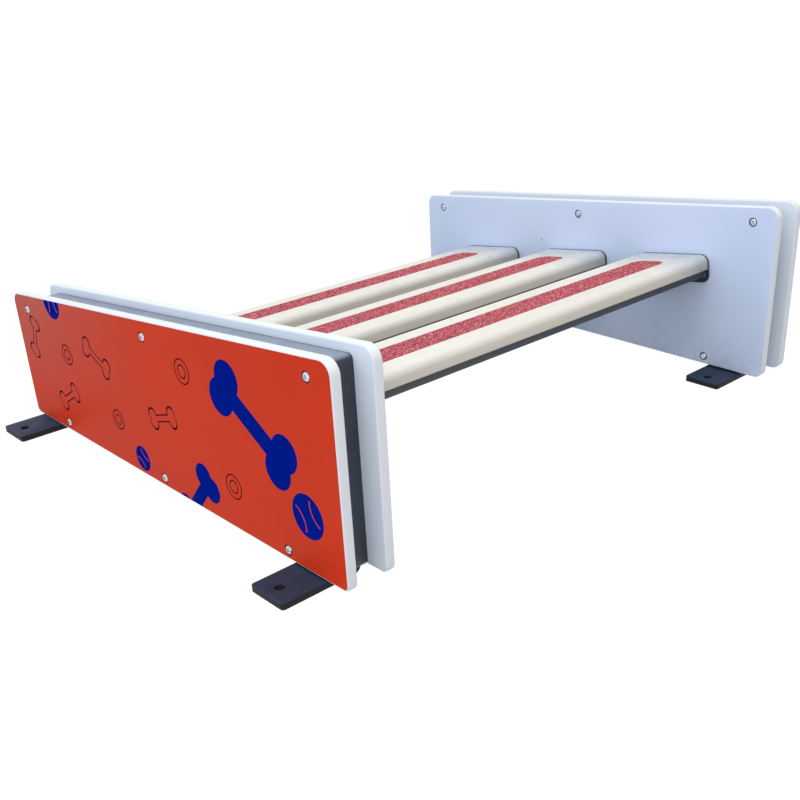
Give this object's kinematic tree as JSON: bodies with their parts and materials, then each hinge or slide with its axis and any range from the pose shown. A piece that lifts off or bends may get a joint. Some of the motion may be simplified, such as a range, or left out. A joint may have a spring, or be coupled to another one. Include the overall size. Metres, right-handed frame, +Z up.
{
  "type": "agility long jump",
  "caption": "Dog agility long jump: sloping planks with red rubber grip strips between two tapered double-panel end walls on pegged feet.",
  "frame": {"origin": "on the ground, below the middle of the overall box of the jump", "axes": "+X along the end walls towards their high end, +Y along the boards from the near wall to the far one, +Z up"},
  "size_m": [1.09, 1.4024, 0.4011],
  "materials": {
    "white_sheet": "smooth white polyethylene sheet, satin",
    "orange_film": "printed film, satin orange with dark blue figures",
    "dark_plastic": "dark grey recycled plastic bar, matt",
    "dark_paint": "dark grey powder coat, fine texture",
    "bright_steel": "bright stainless steel",
    "beige_plank": "off-white plastic plank, matt",
    "red_granulate": "bonded rubber granulate, red with dark specks",
    "grey_steel": "dark grey powder coat, smooth"
  },
  "bodies": {
    "root": {"near_outer_panel": "white_sheet", "near_outer_print": "orange_film", "near_frame": "dark_plastic", "near_inner_panel": "white_sheet", "near_foot_low": "dark_paint", "near_foot_high": "dark_paint", "near_bolt_1": "bright_steel", "near_bolt_2": "bright_steel", "near_bolt_3": "bright_steel", "near_bolt_4": "bright_steel", "near_bolt_5": "bright_steel", "near_bolt_6": "bright_steel", "near_sleeve_nut_1": "bright_steel", "near_sleeve_nut_2": "bright_steel", "near_sleeve_nut_3": "bright_steel", "near_sleeve_nut_4": "bright_steel", "near_sleeve_nut_5": "bright_steel", "near_sleeve_nut_6": "bright_steel", "far_outer_panel": "white_sheet", "far_outer_print": "orange_film", "far_frame": "dark_plastic", "far_inner_panel": "white_sheet", "far_foot_low": "dark_paint", "far_foot_high": "dark_paint", "far_bolt_1": "bright_steel", "far_bolt_2": "bright_steel", "far_bolt_3": "bright_steel", "far_bolt_4": "bright_steel", "far_bolt_5": "bright_steel", "far_bolt_6": "bright_steel", "far_sleeve_nut_1": "bright_steel", "far_sleeve_nut_2": "bright_steel", "far_sleeve_nut_3": "bright_steel", "far_sleeve_nut_4": "bright_steel", "far_sleeve_nut_5": "bright_steel", "far_sleeve_nut_6": "bright_steel", "board_low": "beige_plank", "grip_strip_low": "red_granulate", "rail_low": "grey_steel", "plate_screw_low_near_1": "bright_steel", "plate_screw_low_near_2": "bright_steel", "plate_screw_low_far_1": "bright_steel", "plate_screw_low_far_2": "bright_steel", "board_middle": "beige_plank", "grip_strip_middle": "red_granulate", "rail_middle": "grey_steel", "plate_screw_middle_near_1": "bright_steel", "plate_screw_middle_near_2": "bright_steel", "plate_screw_middle_far_1": "bright_steel", "plate_screw_middle_far_2": "bright_steel", "board_high": "beige_plank", "grip_strip_high": "red_granulate", "rail_high": "grey_steel", "plate_screw_high_near_1": "bright_steel", "plate_screw_high_near_2": "bright_steel", "plate_screw_high_far_1": "bright_steel", "plate_screw_high_far_2": "bright_steel"}
  },
  "joints": []
}
